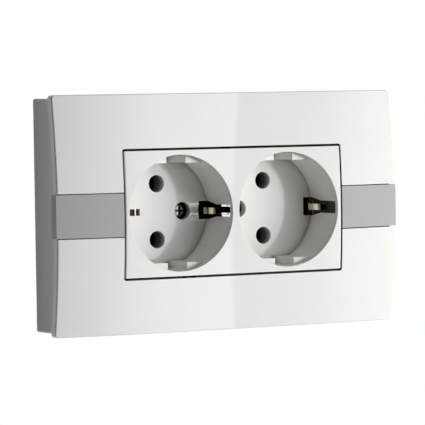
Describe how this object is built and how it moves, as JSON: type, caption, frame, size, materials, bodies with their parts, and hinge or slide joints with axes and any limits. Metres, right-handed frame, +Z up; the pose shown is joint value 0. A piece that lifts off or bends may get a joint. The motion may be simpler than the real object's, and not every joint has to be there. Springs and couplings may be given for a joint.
{
  "type": "double wall socket",
  "caption": "Earthed double wall socket: pillow-shaped cover plate with grey trim bars, round plug wells side by side and a contact block with spreading claws for a wall box.",
  "frame": {"origin": "centre of the wall plane behind the plate", "axes": "+X right along the plate, +Z up, the front faces -Y and +Y goes into the wall"},
  "size_m": [0.1318, 0.0422, 0.08],
  "materials": {
    "plate_white": "satin gloss moulded white",
    "frame_white": "fine matt moulded white",
    "bar_silver": "satin silver-grey lacquer",
    "cover_white": "satin gloss moulded white",
    "base_dark": "matt dark moulded block",
    "plated_brass": "bright plated brass",
    "bare_brass": "stamped brass",
    "zinc_screw": "blue zinc plated steel",
    "zinc_sheet": "zinc plated sheet steel"
  },
  "bodies": {
    "socket": {"front_plate": "plate_white", "rear_frame": "frame_white", "accent_bar_left": "bar_silver", "accent_bar_right": "bar_silver", "socket_cover": "cover_white", "cover_screw_left": "zinc_screw", "cover_screw_right": "zinc_screw", "earth_strip": "plated_brass", "earth_terminal": "bare_brass", "earth_terminal_screw": "zinc_screw", "live_strip": "bare_brass", "live_terminal": "bare_brass", "live_terminal_screw": "zinc_screw", "neutral_strip": "bare_brass", "neutral_terminal": "bare_brass", "neutral_terminal_screw": "zinc_screw", "socket_base": "base_dark", "support_plate": "zinc_sheet", "base_rivets": "bare_brass", "claw_screw_upper": "zinc_screw", "claw_screw_lower": "zinc_screw"},
    "upper_claw": {"claw_upper": "zinc_sheet"},
    "lower_claw": {"claw_lower": "zinc_sheet"}
  },
  "joints": [
    {"name": "upper_claw_swing", "type": "hinge", "parent": "socket", "child": "upper_claw", "pos_m": [0.0076, 0.0024, 0.0186], "axis": [1, 0, 0], "range_deg": [0, 12]},
    {"name": "lower_claw_swing", "type": "hinge", "parent": "socket", "child": "lower_claw", "pos_m": [-0.0076, 0.0024, -0.0186], "axis": [-1, 0, 0], "range_deg": [0, 12]}
  ]
}
